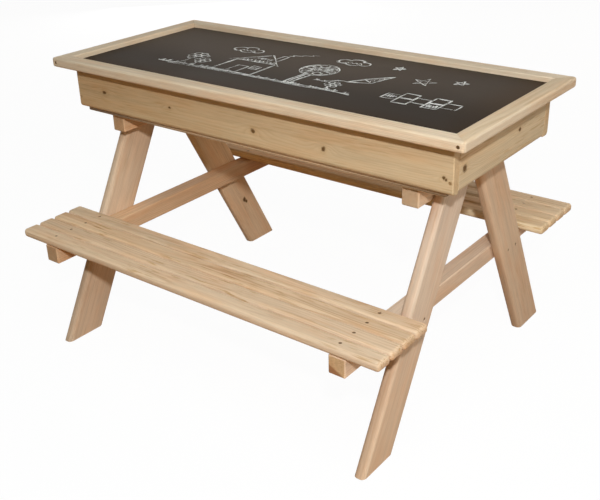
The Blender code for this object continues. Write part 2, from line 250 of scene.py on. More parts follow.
# Reddish and pale patches: their scales, where in the noise they start and are full, their share and tint
SOFT_PATCHES = (
    ((7, 34, 34), 0.42, 0.70, 0.8, (1.0, 0.90, 0.82)),
    ((9, 60, 60), 0.52, 0.78, 0.7, (1.07, 1.08, 1.10)),
)
RESIN_RISE, RESIN_PLACE_RISE, RESIN_TINT = (0.52, 0.70), (0.40, 0.58), (0.68, 0.55, 0.36)
END_TINT, DARK_END_TINT = (0.964, 0.94, 0.91), (0.80, 0.78, 0.74)
# A dark red-brown band on the end grain of a beam: its colour, how much it shows, and its blur
END_BAND_COLOUR, END_BAND_SHARE, END_BAND_BLUR = rgb(138, 84, 52), 0.7, 0.004
# A knot: how unround it is, how far it pushes the rings, and how many rings of its own it has
KNOT_UNEVEN_SCALES, KNOT_UNEVEN, KNOT_PUSH, KNOT_RINGS = (0.9, 0.9, 0), (0.75, 1.3), 1.5, 3.2
KNOT_SPREAD = (0.2, 0.55, 0)
# Where its heart, its rings and its halo start to fade and end, counted in its half sizes
HEART_FADE, RIM_FADE, HALO_FADE = (0.45, 1.15), (0.7, 1.1), (0.7, 2.6)
KNOT_HALO_TINT, KNOT_HALO_SHARE = (0.80, 0.68, 0.50), 0.30
KNOT_HEART, KNOT_HEART_SHARE = rgb(98, 66, 30), 0.93
KNOT_RIM, KNOT_RIM_SHARE = rgb(66, 42, 20), 0.4
PINE_ROUGHNESS, LATE_GLOSS, PINE_SPECULAR = (0.60, 0.72), -0.12, 0.15
# How much the late wood, the fibres and a knot's rings stand out or in
LATE_RELIEF, FIBRE_RELIEF, RIM_RELIEF = 0.5, 0.6, 0.8


def make_ring_group():
    """Growth rings, fibres and slow tone of a board, from a place given along, across and into the trunk."""
    tree, g, given, out = new_group(
        "pine_rings", {"Place": "Vector", "Seed": "Float", "Ring": "Float", "Sway": "Float", "Push": "Float"},
        {"Late": "Float", "Fibre": "Float", "Streak": "Float", "Tone": "Float"})
    place = given["Place"]
    seed = g.joined(given["Seed"], g.times(given["Seed"], 1.7), 0.0)
    slow = g.moved(g.noise(place, WARP_SCALES, shift=seed, out="Color"), (-0.5, -0.5, -0.5))
    reach = g.times(given["Sway"], SWAY_REACH)
    bent = g.parts(g.moved(place, g.scaled(slow, g.joined(reach, reach, reach))))
    ripple = g.noise(place, RIPPLE_SCALES, 3.0, 0.55, seed)
    radius = g.math("SQRT", g.plus(g.math("POWER", bent[1], 2), g.math("POWER", bent[2], 2)))
    radius = g.plus(radius, g.times(g.minus(ripple, 0.5), RIPPLE_DEPTH))
    radius = g.plus(radius, given["Push"])
    swell = g.noise(g.joined(radius, given["Seed"], 0.0), SWELL_SCALES)
    rings = g.plus(g.math("DIVIDE", radius, given["Ring"]), g.times(swell, SWELL_RINGS))
    phase = g.math("FRACT", rings)
    dark = g.minus(g.step(phase, *LATE_RISE), g.step(phase, *LATE_FALL))
    chance = g.node("TexWhiteNoise", noise_dimensions="1D")
    g.put(chance.inputs["W"], g.plus(g.math("FLOOR", rings), given["Seed"]))
    g.put(out["Late"], g.times(dark, g.span(chance.outputs["Value"], 0, 1, FAINTEST_RING, 1.0)))
    g.put(out["Fibre"], g.noise(place, FIBRE_SCALES, 4.0, 0.65, seed))
    g.put(out["Streak"], g.noise(place, STREAK_SCALES, 3.0, 0.55, seed))
    g.put(out["Tone"], g.noise(place, TONE_SCALES, 3.0, 0.55, seed))
    return tree


def make_knot_group():
    """One knot: how it pushes the rings aside, and the shares of its heart, its rings and its halo."""
    tree, g, given, out = new_group(
        "pine_knot", {"Flat": "Vector", "Centre": "Vector", "Size": "Vector"},
        {"Push": "Float", "Heart": "Float", "Rim": "Float", "Halo": "Float"})
    away = g.vector_math("SUBTRACT", given["Flat"], given["Centre"])
    away = g.vector_math("DIVIDE", away, given["Size"])
    uneven = g.noise(away, KNOT_UNEVEN_SCALES, shift=g.scaled(given["Centre"], (90, 90, 0)))
    reach = g.times(g.length(g.scaled(away, (1.0, 1.0, 0))), g.span(uneven, 0.3, 0.7, *KNOT_UNEVEN))
    wide = g.length(g.scaled(away, KNOT_SPREAD))
    fade = g.math("EXPONENT", g.times(g.math("POWER", wide, 2), -1.0))
    half_height = g.parts(given["Size"])[1]
    g.put(out["Push"], g.times(fade, g.times(half_height, KNOT_PUSH)))
    rings = g.step(g.math("FRACT", g.times(reach, KNOT_RINGS)), 0.2, 0.7)
    g.put(out["Heart"], g.step(reach, *HEART_FADE, 1.0, 0.0))
    g.put(out["Rim"], g.times(rings, g.step(reach, *RIM_FADE, 1.0, 0.0)))
    g.put(out["Halo"], g.step(reach, *HALO_FADE, 1.0, 0.0))
    return tree


RINGS = make_ring_group()
KNOT = make_knot_group()


def knot_marks(g, flat, knots):
    """How the knots push the rings aside, and the shares of their hearts, rings and halos."""
    push, heart, rim, halo = 0.0, 0.0, 0.0, 0.0
    for along, across, half_length, half_height in knots:
        knot = use_group(g, KNOT, Flat=flat, Centre=(along, across, 0), Size=(half_length, half_height, 1))
        push = g.plus(push, knot["Push"])
        heart, rim, halo = (g.math("MAXIMUM", old, knot[name])
                            for old, name in ((heart, "Heart"), (rim, "Rim"), (halo, "Halo")))
    return push, heart, rim, halo


def wood_shade(g, wood):
    """How much lighter or darker the fibres, the streaks and the slow tone make the wood."""
    fibre = g.span(wood["Fibre"], *NOISE_SPAN, -FIBRE_CONTRAST, FIBRE_CONTRAST)
    streak = g.span(wood["Streak"], *NOISE_SPAN, -STREAK_CONTRAST, STREAK_CONTRAST)
    return g.grey(g.plus(fibre, g.plus(streak, g.span(wood["Tone"], *NOISE_SPAN, *TONE_SPAN))))


def patched(g, colour, place, ticks):
    """The colour with reddish and pale patches and short dark resin lines."""
    for scales, low, high, share, tint in SOFT_PATCHES:
        colour = g.tint(g.step(g.noise(place, scales, 3.0, 0.6), low, high, 0.0, share), colour, tint)
    resin = g.times(g.step(g.noise(place, RESIN_SCALES), *RESIN_RISE),
                    g.step(g.noise(place, RESIN_PLACE_SCALES), *RESIN_PLACE_RISE))
    return g.tint(g.times(resin, ticks), colour, RESIN_TINT)


def pine(node, along, side, seed, colours, ring, pith, sway, strength, knots=(), ends=None, ticks=0.25,
         end_tint=END_TINT, painted_edge_shading=None, end_band=None):
    """Sawn pine for one CAD piece.

    The grain runs along, and the broad face lies in along and side. colours are those of early and late wood.
    ring is the rings' width, sway how far they wander, and strength how much shows of the late wood. pith is
    where the trunk's heart lies from the piece's middle, across the face and out of it. A knot is (along,
    across, half length, half height) from the middle. ends are the tints at both ends of a board that changes
    colour along its length; on the front wall, the legs and the far bench's first slat they are painted light
    and shade. ticks is how much shows of the short dark resin lines. end_tint is that of the end grain. The
    edge tint is painted light on the edges, and painted shade on those of the right front leg. The last
    argument gives where a dark red-brown band starts on the end grain: a direction across and out, and a
    distance.
    """
    made, g, shader, given = new_material("pine_" + node)
    low, high = (Vector(corner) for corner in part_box(node))
    middle = (low + high) / 2
    axes = (along, side, along.cross(side))
    flat = g.joined(*(g.dot(given["Object"], axis) for axis in axes))
    flat = g.moved(flat, tuple(-middle.dot(axis) for axis in axes))
    place = g.moved(flat, (0, -pith[0], -pith[1]))

    push, heart, rim, halo = knot_marks(g, flat, knots)
    wood = use_group(g, RINGS, Place=place, Seed=seed, Ring=ring, Sway=sway, Push=push)
    patches = g.noise(g.moved(place, (seed, 0, seed)), PATCH_SCALES)
    late = g.times(wood["Late"], g.step(patches, *PATCH_RISE, strength * FAINTEST_PATCH, strength))
    colour = g.tint(1.0, g.mix(late, *colours), wood_shade(g, wood))
    # A tint that changes along the board; on the front wall, the legs and the far bench's first slat it is
    # painted light and shade
    if ends:
        half = abs((high - low).dot(along)) / 2
        colour = g.tint(1.0, colour, g.mix(g.step(g.parts(flat)[0], -half, half), *ends))
    colour = patched(g, colour, g.moved(place, (seed, seed, 0)), ticks)
    # Painted light on the edge faces, and painted shade on those of the right front leg
    if painted_edge_shading:
        colour = g.tint(facing(g, given, side, 0.5, 0.9), colour, painted_edge_shading)
    if knots:
        colour = g.tint(g.times(halo, KNOT_HALO_SHARE), colour, KNOT_HALO_TINT)
        colour = g.mix(g.times(heart, KNOT_HEART_SHARE), colour, KNOT_HEART)
        colour = g.mix(g.times(rim, KNOT_RIM_SHARE), colour, KNOT_RIM)
    end = facing(g, given, along, 0.6, 0.9)
    colour = g.tint(end, colour, end_tint)
    # A dark red-brown band across the end grain, from where it starts
    if end_band:
        across, outwards, start = end_band
        band = g.step(g.dot(flat, (0, across, outwards)), start, start + END_BAND_BLUR)
        colour = g.mix(g.times(g.times(band, end), END_BAND_SHARE), colour, END_BAND_COLOUR)
    g.put(shader.inputs["Base Color"], colour)

    rough = g.plus(g.span(wood["Fibre"], 0.2, 0.8, *PINE_ROUGHNESS), g.times(late, LATE_GLOSS))
    g.put(shader.inputs["Roughness"], rough)
    shader.inputs["Specular IOR Level"].default_value = PINE_SPECULAR
    height = g.plus(g.times(wood["Late"], LATE_RELIEF), g.times(wood["Fibre"], FIBRE_RELIEF))
    if knots:
        height = g.minus(height, g.times(rim, RIM_RELIEF))
    g.bump(shader, height, strength=0.35, distance=0.00035)
    dress(node, made)


# Early and late wood of each sort of board
RAIL_PINE = rgb(220, 199, 174), rgb(188, 154, 118)
WALL_PINE = rgb(209, 188, 156), rgb(170, 134, 94)
FRONT_WALL_PINE = rgb(208, 186, 153), rgb(171, 136, 96)
LEG_PINE = rgb(218, 193, 168), rgb(187, 150, 116)
SLAT_PINE = rgb(226, 198, 168), rgb(184, 139, 98)
BEAM_PINE = rgb(218, 184, 150), rgb(184, 138, 96)

# Tints of single boards, of their two ends and of their edges
# Painted sheen on the back rail, lighter and bluer, and painted shade on the right rail, darker and yellower
RAIL_PAINTED_LIGHT_TINTS = {"front": WHITE, "back": (1.05, 1.06, 1.08), "left": WHITE, "right": (0.93, 0.89, 0.83)}
# Painted light: the right rail's side faces lighter and bluer than its top
RAIL_PAINTED_EDGE_LIGHT = {"right": (1.03, 1.12, 1.24)}
RIGHT_WALL_TINT = (1.01, 1.05, 1.10)
# Painted shade: the front wall darker and warmer towards its left end, where less light falls
FRONT_WALL_PAINTED_SHADE_ENDS = ((0.95, 0.885, 0.80), WHITE)
# Painted light: the right front leg lighter and bluer towards its top, and the left back leg lighter along
# its whole length, most at its top
LEG_PAINTED_LIGHT_ENDS = {"leg_right_front": ((0.99, 0.99, 0.99), (1.02, 1.12, 1.28)),
            "leg_left_back": ((1.16, 1.15, 1.08), (1.25, 1.22, 1.10))}
# Painted shade: the right front leg's narrow faces darker than its broad faces
LEG_PAINTED_EDGE_SHADE = {"leg_right_front": (0.86, 0.80, 0.76)}
BEAM_TINTS = {"seat_beam_right": (1.05, 1.18, 1.42), "top_beam_right": (1.0, 1.12, 1.28)}
BEAM_END_TINTS = {"seat_beam_right": (0.85, 0.76, 0.58)}
# Where a dark red-brown band starts on the right seat beam's end grain
BEAM_END_BANDS = {"seat_beam_right": (0.47, -0.88, 0.005)}
FRONT_SLAT_ENDS = ((1.02, 1.0, 0.97), (0.92, 0.92, 0.93))
BACK_SLAT_ENDS = (WHITE, (0.99, 0.99, 0.99))
# The far bench's first slat lies in the shade of the box: painted shade darkens and warms its left end, and
# painted light brightens its edge faces
SHADED_SLAT_PAINTED_SHADE_ENDS = ((1.02, 0.87, 0.66), (0.99, 0.99, 0.99))
# Painted light on the slats' edge faces, lighter and bluer than their tops
SLAT_PAINTED_EDGE_LIGHT, SHADED_SLAT_PAINTED_EDGE_LIGHT = (1.02, 1.05, 1.09), (1.14, 1.28, 1.42)

# Knots, as pine() takes them, but for those in world coordinates: (x or y, z, half length, half height)
FRONT_WALL_KNOTS = ((-0.3418, 0.4891, 0.0056, 0.0040), (-0.1655, 0.4889, 0.0032, 0.0026),
                    (0.0330, 0.4809, 0.0052, 0.0050), (0.1819, 0.4782, 0.0044, 0.0048),
                    (0.4026, 0.4766, 0.0034, 0.0032), (0.4066, 0.4744, 0.0028, 0.0024))
RIGHT_WALL_KNOTS = ((-0.1357, 0.4846, 0.0084, 0.0060), (0.0518, 0.4924, 0.0056, 0.0040))
BACK_WALL_KNOTS = ((-0.25, 0.012, 0.004, 0.004), (0.12, -0.018, 0.003, 0.003), (0.31, 0.02, 0.005, 0.0042))
LEFT_WALL_KNOTS = ((0.06, -0.015, 0.0036, 0.0036),)
LEG_KNOTS = {"leg_left_back": ((-0.1155, 0.004, 0.0076, 0.0060), (-0.1235, 0.0064, 0.0050, 0.0044))}
LEG_WIDTH = 0.078


def finish_rails():
    for side, seed, pith in (("front", 3.1, (0.02, -0.07)), ("back", 8.4, (-0.03, -0.06)),
                             ("left", 12.7, (0.01, -0.06)), ("right", 17.9, (-0.02, -0.08))):
        along, across = (X, Y) if side in ("front", "back") else (Y, -X)
        pine("lid_rail_" + side, along, across, seed, tinted(RAIL_PINE, RAIL_PAINTED_LIGHT_TINTS[side]), ring=0.0021,
             pith=pith, sway=0.003, strength=0.42, painted_edge_shading=RAIL_PAINTED_EDGE_LIGHT.get(side))
    for node, seed in (("lid_batten_left", 21.3), ("lid_batten_right", 26.6)):
        pine(node, Y, -X, seed, BEAM_PINE, ring=0.003, pith=(0.02, -0.05), sway=0.004, strength=0.6)


def finish_walls():
    middle_z = sum(corner[2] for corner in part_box("box_wall_front")) / 2

    def from_middle(knots):
        return [(along, z - middle_z, *half_sizes) for along, z, *half_sizes in knots]

    pine("box_wall_front", X, Z, 33.2, FRONT_WALL_PINE, ring=0.0030, pith=(0.004, 0.030), sway=0.006,
         strength=0.34, knots=from_middle(FRONT_WALL_KNOTS), ends=FRONT_WALL_PAINTED_SHADE_ENDS, ticks=0.35)
    pine("box_wall_back", -X, Z, 37.8, WALL_PINE, ring=0.0032, pith=(-0.006, 0.032), sway=0.006,
         strength=0.4, knots=BACK_WALL_KNOTS)
    pine("box_wall_right", Y, Z, 41.5, tinted(WALL_PINE, RIGHT_WALL_TINT), ring=0.0026, pith=(0.03, 0.035),
         sway=0.004, strength=0.38, knots=from_middle(RIGHT_WALL_KNOTS), ticks=0.5)
    pine("box_wall_left", -Y, Z, 46.9, WALL_PINE, ring=0.003, pith=(-0.02, 0.035), sway=0.005,
         strength=0.4, knots=LEFT_WALL_KNOTS)


def finish_trestles():
    foot = Vector(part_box("leg_right_front")[0])
    top = Vector(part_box("leg_right_front")[1])
    lean = math.acos(LEG_WIDTH / math.hypot(top.y - foot.y, top.z)) - math.atan2(top.z, top.y - foot.y)
    for node, sign, seed, pith in (
            ("leg_right_front", 1, 52.3, (0.05, -0.04)), ("leg_right_back", -1, 57.1, (-0.06, -0.03)),
            ("leg_left_front", 1, 63.4, (0.04, -0.05)), ("leg_left_back", -1, 68.2, (0.03, -0.035))):
        along = Vector((0, sign * math.sin(lean), math.cos(lean)))
        across = Vector((0, math.cos(lean), -sign * math.sin(lean)))
        pine(node, along, across, seed, LEG_PINE, ring=0.0026, pith=pith, sway=0.004, strength=0.36,
             knots=LEG_KNOTS.get(node, ()), ends=LEG_PAINTED_LIGHT_ENDS.get(node), painted_edge_shading=LEG_PAINTED_EDGE_SHADE.get(node))
    for node, seed, pith in (
            ("top_beam_left", 71.6, (0.02, 0.03)), ("top_beam_right", 76.3, (-0.02, 0.04)),
            ("seat_beam_left", 81.9, (0.015, -0.04)), ("seat_beam_right", 86.2, (0.02, 0.05))):
        pine(node, Y, -X, seed, tinted(BEAM_PINE, BEAM_TINTS.get(node, WHITE)), ring=0.0026, pith=pith,
             sway=0.004, strength=0.45, end_tint=BEAM_END_TINTS.get(node, DARK_END_TINT),
             end_band=BEAM_END_BANDS.get(node))


def finish_slats():
    for node, seed, ring, pith, sway, strength, ticks, tint in (
            ("slat_front_1", 91.2, 0.0022, (0.012, -0.060), 0.004, 0.50, 0.7, (0.98, 0.98, 0.97)),
            ("slat_front_2", 95.7, 0.0024, (0.006, -0.030), 0.006, 0.70, 1.0, (0.98, 0.95, 0.90)),
            ("slat_front_3", 99.4, 0.0021, (-0.020, -0.055), 0.005, 0.45, 0.9, (1.0, 1.0, 1.0)),
            ("slat_front_4", 104.8, 0.0020, (0.004, -0.045), 0.005, 0.40, 0.7, (1.03, 1.04, 1.05)),
            ("slat_back_1", 109.3, 0.0024, (0.020, -0.050), 0.004, 0.50, 0.7, (1.03, 1.06, 1.00)),
            ("slat_back_2", 114.6, 0.0026, (-0.006, -0.038), 0.005, 0.55, 0.8, (1.03, 1.06, 1.02)),
            ("slat_back_3", 118.1, 0.0022, (0.012, -0.060), 0.004, 0.50, 0.8, (1.05, 1.09, 1.08)),
            ("slat_back_4", 123.5, 0.0024, (-0.018, -0.045), 0.004, 0.45, 0.6, (1.05, 1.08, 1.07))):
        ends = BACK_SLAT_ENDS if "back" in node else FRONT_SLAT_ENDS
        painted_edge_shading = SLAT_PAINTED_EDGE_LIGHT
        # Painted shade at the far bench's first slat's left end, and painted light on its edge faces
        if node == "slat_back_1":
            ends, painted_edge_shading = SHADED_SLAT_PAINTED_SHADE_ENDS, SHADED_SLAT_PAINTED_EDGE_LIGHT
        pine(node, X, Y, seed, tinted(SLAT_PINE, tint), ring, pith, sway, strength, ends=ends, ticks=ticks,
             painted_edge_shading=painted_edge_shading)


# Plywood, chalkboard, steel
VENEER, VENEER_FIGURE, FIGURE_SHARE = rgb(205, 176, 136), rgb(176, 138, 94), 0.55
PALE_PLY, DARK_PLY, PLY_SPECK, SPECK_SHARE = rgb(206, 182, 152), rgb(160, 127, 96), rgb(120, 90, 64), 0.4
# How many pairs of a dark and a pale ply the floor has
PLY_PAIRS = 2.5
# Painted shade: the floor's edges darken from the first to the second of these distances along x from their
# palest place
PLY_PALEST_X, PLY_DARKENS, PLY_END_PAINTED_SHADE = 0.03, (0.12, 0.40), (0.36, 0.31, 0.25)
PLY_SHADE, PLY_ROUGHNESS = (0.92, 1.06), (0.62, 0.78)
PAINT, PAINT_SPECK = rgb(67, 57, 48), rgb(78, 67, 59)
HAZE, HAZE_SHARE = rgb(206, 200, 192), 0.035
# Painted sheen and shade: the board lighter towards the back and darker towards the right; where it changes
# along y and along x, and both shades
PAINTED_SHEEN_Y, PAINTED_DIM_X = (-0.09, 0.075, 0.71, 1.37), (-0.02, 0.40, 1.0, 0.70)
# Painted shade: where the board turns browner, starting towards the right edge and ending away from the front
# edge, and its tint
PAINTED_BROWN_X, PAINTED_BROWN_Y, PAINTED_BROWN_TINT = (0.33, 0.42), (-0.165, -0.10), (0.96, 0.80, 0.62)
BOARD_ROUGHNESS, BOARD_SPECULAR = (0.44, 0.60), 0.012
CHALK, CHALK_COVER, CHALK_ROUGHNESS = rgb(246, 245, 242), (0.35, 1.0), (0.8, 0.98)
# How hard the hand presses, and how much of the grain that leaves covered
CHALK_PRESS, CHALK_RISE = (-0.16, 0.18), (0.38, 0.56)
STEEL_METALLIC, STEEL_ROUGHNESS = 0.6, (0.38, 0.62)


def finish_floor():
    """Plywood: a peeled veneer above and below, and bands of crossing plies round the edges, with painted
    shade towards their ends.
    """
    made, g, shader, given = new_material("plywood")
    place = given["Object"]
    x, y, z = g.parts(place)
    bend = g.noise(place, (3, 11, 3))
    wave = g.math("FRACT", g.times(g.plus(bend, g.times(y, 0.9)), 11))
    figure = g.minus(g.step(wave, 0.2, 0.85), g.step(wave, 0.88, 1.0))
    veneer = g.mix(g.times(figure, FIGURE_SHARE), VENEER, VENEER_FIGURE)
    low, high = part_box("box_floor")
    ply = g.math("FRACT", g.times(g.minus(z, low[2]), PLY_PAIRS / (high[2] - low[2])))
    band = g.times(g.step(ply, 0.46, 0.52), g.step(ply, 0.94, 1.0, 1.0, 0.0))
    grit = g.noise(place, (420, 420, 160), 3.0, 0.7)
    edge = g.mix(band, PALE_PLY, DARK_PLY)
    edge = g.mix(g.step(grit, 0.5, 0.8, 0.0, SPECK_SHARE), edge, PLY_SPECK)
    outwards = g.math("ABSOLUTE", g.minus(x, PLY_PALEST_X))
    # Painted shade: the edges darker towards both ends
    edge = g.tint(g.step(outwards, *PLY_DARKENS), edge, PLY_END_PAINTED_SHADE)
    colour = g.mix(facing(g, given, Z, 0.3, 0.6), edge, veneer)
    fibre = g.noise(place, (12, 520, 300), 3.0, 0.6)
    colour = g.tint(1.0, colour, g.grey(g.span(fibre, *NOISE_SPAN, *PLY_SHADE)))
    g.put(shader.inputs["Base Color"], colour)
    g.put(shader.inputs["Roughness"], g.span(fibre, 0.2, 0.8, *PLY_ROUGHNESS))
    g.bump(shader, g.plus(fibre, grit), strength=0.3, distance=0.0003)
    dress("box_floor", made)


def slate_colour(g, place):
    """Dark brown-grey board paint with the haze of wiped chalk, painted sheen and painted shade, and the
    haze's strength.
    """
    cloud = g.noise(place, (7, 12, 7), 4.0, 0.6)
    sweep = g.noise(place, (22, 130, 22), 3.0, 0.6)
    haze = g.times(g.step(cloud, 0.42, 0.72), g.span(sweep, 0.2, 0.8, 0.35, 1.0))
    paint = g.mix(g.noise(place, 900, 2.0, 0.6), PAINT, PAINT_SPECK)
    paint = g.mix(g.times(haze, HAZE_SHARE), paint, HAZE)
    x, y = g.parts(place)[:2]
    # Painted sheen, lighter towards the back, and painted shade, darker towards the right and browner near
    # the right and front edges
    painted_light = g.times(g.step(y, *PAINTED_SHEEN_Y), g.step(x, *PAINTED_DIM_X))
    painted_brown = g.math("MAXIMUM", g.step(x, *PAINTED_BROWN_X), g.step(y, *PAINTED_BROWN_Y, 1.0, 0.0))
    return g.tint(painted_brown, g.tint(1.0, paint, g.grey(painted_light)), PAINTED_BROWN_TINT), haze


def finish_board():
    made, g, shader, given = new_material("chalkboard")
    place = given["Object"]
    colour, haze = slate_colour(g, place)
    g.put(shader.inputs["Base Color"], colour)
    g.put(shader.inputs["Roughness"], g.span(haze, 0, 1, *BOARD_ROUGHNESS))
    shader.inputs["Specular IOR Level"].default_value = BOARD_SPECULAR
    g.bump(shader, g.noise(place, 1400, 3.0, 0.6), strength=0.25, distance=0.00015)
    dress("chalkboard", made)


def chalk_material():
    """Dry chalk that catches only the high spots of the paint."""
    made, g, shader, given = new_material("chalk")
    place = given["Object"]
    paint = slate_colour(g, place)[0]
    crumbs = g.noise(place, 1500, 3.0, 0.7)
    press = g.span(g.noise(place, 90), 0.3, 0.7, *CHALK_PRESS)
    cover = g.step(g.plus(crumbs, press), *CHALK_RISE)
    g.put(shader.inputs["Base Color"], g.mix(g.span(cover, 0, 1, *CHALK_COVER), paint, CHALK))
    g.put(shader.inputs["Roughness"], g.span(cover, 0, 1, *CHALK_ROUGHNESS))
    g.bump(shader, crumbs, strength=0.4, distance=0.0002)
    return made


def steel_material(name, light, dark):
    """Dull, slightly tarnished screw steel."""
    made, g, shader, given = new_material(name)
    stain = g.noise(given["Object"], 700, 3.0, 0.6)
    g.put(shader.inputs["Base Color"], g.mix(g.step(stain, 0.35, 0.7), light, dark))
    g.put(shader.inputs["Roughness"], g.span(stain, 0.2, 0.8, *STEEL_ROUGHNESS))
    shader.inputs["Metallic"].default_value = STEEL_METALLIC
    g.bump(shader, stain, strength=0.3, distance=0.0001)
    return made


# Screws
HEAD_RADIUS, HEAD_DEPTH, SHANK_RADIUS = 0.0030, 0.0022, 0.0015
# The head's rounded rim: how far in it starts, how far it drops and where it ends
RIM_WIDTH, RIM_DROP, RIM_DEPTH = 0.0004, 0.00025, 0.0005
THREAD_PITCH, THREAD_DEPTH = 0.0020, 0.0004
# Where in a turn of the thread its crest ends and its root starts
CREST_SHARE, ROOT_SHARE = 0.35, 0.5
# The plain neck, how far from the tip the thread stops, and the tip's length
NECK_LENGTH, THREAD_STOP, TIP_LENGTH = 0.012, 0.005, 0.004
SCREW_SIDES, SHARP_ANGLE = 24, math.radians(35)
# The recess: where two slots meet, how far a slot reaches and half its width
SLOT_CORNER, SLOT_REACH, SLOT_HALF_WIDTH = 0.00046, 0.0017, 0.00036
# The recess's heights, and its size there
RECESS_TAPER = ((0.0005, 1.15), (-0.0004, 0.85), (-0.0015, 0.30))
WORN_STEEL = rgb(122, 90, 56), rgb(76, 54, 32)
BRIGHT_STEEL = rgb(182, 150, 106), rgb(138, 110, 72)
# The screws through a top beam: their places along y, and how far their heads stand out
TOP_SCREWS, TOP_SCREW_PROUD = (("a", -0.052), ("b", -0.022), ("c", 0.022), ("d", 0.052)), 0.0004


def turned(profile, sides):
    """A closed turned mesh in a bmesh, from (radius, height) pairs that start and end on the axis."""
    bm = bmesh.new()
    rings = []
    for radius, height in profile:
        turns = [2 * math.pi * i / sides for i in range(1 if radius == 0 else sides)]
        rings.append([bm.verts.new((radius * math.cos(turn), radius * math.sin(turn), height))
                      for turn in turns])
    for upper, lower in zip(rings, rings[1:]):
        for i in range(sides):
            k = (i + 1) % sides
            bm.faces.new(list(dict.fromkeys((upper[i % len(upper)], lower[i % len(lower)],
                                             lower[k % len(lower)], upper[k % len(upper)]))))
    bmesh.ops.recalc_face_normals(bm, faces=bm.faces)
    return bm


def cross_cutter():
    """The star-shaped recess of a cross-head screw, tapering downwards."""
    bm = bmesh.new()
    outline = []
    for quarter in range(4):
        turn = Matrix.Rotation(quarter * math.pi / 2, 2)
        for corner in ((SLOT_CORNER, SLOT_CORNER), (SLOT_REACH, SLOT_HALF_WIDTH),
                       (SLOT_REACH, -SLOT_HALF_WIDTH)):
            outline.append(turn @ Vector(corner))
    outline.sort(key=lambda p: math.atan2(p.y, p.x))
    rings = []
    for height, share in RECESS_TAPER:
        rings.append([bm.verts.new((p.x * share, p.y * share, height)) for p in outline])
    count = len(outline)
    for upper, lower in zip(rings, rings[1:]):
        for i in range(count):
            k = (i + 1) % count
            bm.faces.new((upper[i], lower[i], lower[k], upper[k]))
    bm.faces.new(rings[0])
    bm.faces.new(reversed(rings[-1]))
    bmesh.ops.recalc_face_normals(bm, faces=bm.faces)
    return bm


def to_mesh(bm, name):
    mesh = bpy.data.meshes.new(name)
    bm.to_mesh(mesh)
    bm.free()
    return mesh


def screw_profile(length):
    """Half a screw's section, as (radius, height) pairs from the middle of its head down to its tip."""
    root = SHANK_RADIUS - THREAD_DEPTH
    profile = [(0, 0), (HEAD_RADIUS - RIM_WIDTH, 0), (HEAD_RADIUS, -RIM_DROP), (HEAD_RADIUS, -RIM_DEPTH),
               (SHANK_RADIUS, -HEAD_DEPTH), (SHANK_RADIUS, -NECK_LENGTH)]
    height = -NECK_LENGTH
    while height - THREAD_PITCH > THREAD_STOP - length:
        profile += [(SHANK_RADIUS, height - THREAD_PITCH * CREST_SHARE),
                    (root, height - THREAD_PITCH * ROOT_SHARE), (root, height - THREAD_PITCH)]
        height -= THREAD_PITCH
    return profile + [(root, TIP_LENGTH - length), (0, -length)]


def screw_mesh(name, length, steel):
    """A countersunk wood screw: rimmed head with a cross recess, neck, thread and tip."""
    body = bpy.data.objects.new(name, to_mesh(turned(screw_profile(length), SCREW_SIDES), name))
    cutter = bpy.data.objects.new(name + "_cutter", to_mesh(cross_cutter(), name + "_cutter"))
    for thing in (body, cutter):
        bpy.context.scene.collection.objects.link(thing)
    cut = body.modifiers.new("recess", "BOOLEAN")
    cut.operation, cut.solver, cut.object = "DIFFERENCE", "EXACT", cutter
    mesh = bpy.data.meshes.new_from_object(body.evaluated_get(bpy.context.evaluated_depsgraph_get()))
    mesh.name = name
    for thing in (body, cutter):
        bpy.data.objects.remove(thing, do_unlink=True)
    mesh.materials.clear()
    mesh.materials.append(steel)
    mesh.shade_smooth()
    mesh.set_sharp_from_angle(angle=SHARP_ANGLE)
    return mesh


def add_screw(name, mesh, head, outward, body, spin, node=None):
    """Places a screw with its head's middle at head, facing outward."""
    made = bpy.data.objects.new(name, mesh)
    turn = outward.to_track_quat("Z", "Y").to_matrix().to_4x4() @ Matrix.Rotation(spin, 4, "Z")
    made.matrix_world = Matrix.Translation(head) @ turn
    bpy.context.scene.collection.objects.link(made)
    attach(made, body)
    if node:
        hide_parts(node)


def add_screws():
    steel = steel_material("screw_steel_worn", *WORN_STEEL)
    bright = steel_material("screw_steel_bright", *BRIGHT_STEEL)
    rng = random.Random(5)
    meshes = {}
    for node in sorted(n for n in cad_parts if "_screw_" in n):
        kind = node.split("_")[0]
        low, high = (Vector(corner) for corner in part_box(node))
        middle = (low + high) / 2
        if kind == "slat":
            outward, length = Z, high.z - low.z
        elif kind == "leg":
            outward, length = (X if middle.x > 0 else -X), high.x - low.x
        else:
            outward, length = (Y if middle.y > 0 else -Y), high.y - low.y
        if kind not in meshes:
            meshes[kind] = screw_mesh("screw_" + kind, length, bright if kind == "wall" else steel)
        head = middle + outward * length / 2
        add_screw(node + "_real", meshes[kind], head, outward, "lid" if kind == "rail" else "table",
                  rng.uniform(0, math.pi), node)
    for side, sign in (("left", -1), ("right", 1)):
        low, high = (Vector(corner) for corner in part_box("top_beam_" + side))
        face = high.x if sign < 0 else low.x
        for name, y in TOP_SCREWS:
            head = Vector((face - sign * TOP_SCREW_PROUD, y, (low.z + high.z) / 2))
            add_screw("top_screw_" + side + "_" + name, meshes["leg"], head, -sign * X, "table",
                      rng.uniform(0, math.pi))


# Chalk drawing
# The strokes' widths, from fine marks to outlines
HAIR, FINE, THIN, LIGHT, MEDIUM, FIRM = 0.0011, 0.0012, 0.0013, 0.0014, 0.0016, 0.0017
NORMAL, STRONG, BROAD, HEAVY, BOLD = 0.0018, 0.0019, 0.0020, 0.0021, 0.0022
# The ribbons lie this far above the board, and the second pass this much higher
CHALK_LIFT, SECOND_LIFT = 0.00012, 0.00003
POINT_SPACING = 0.0022
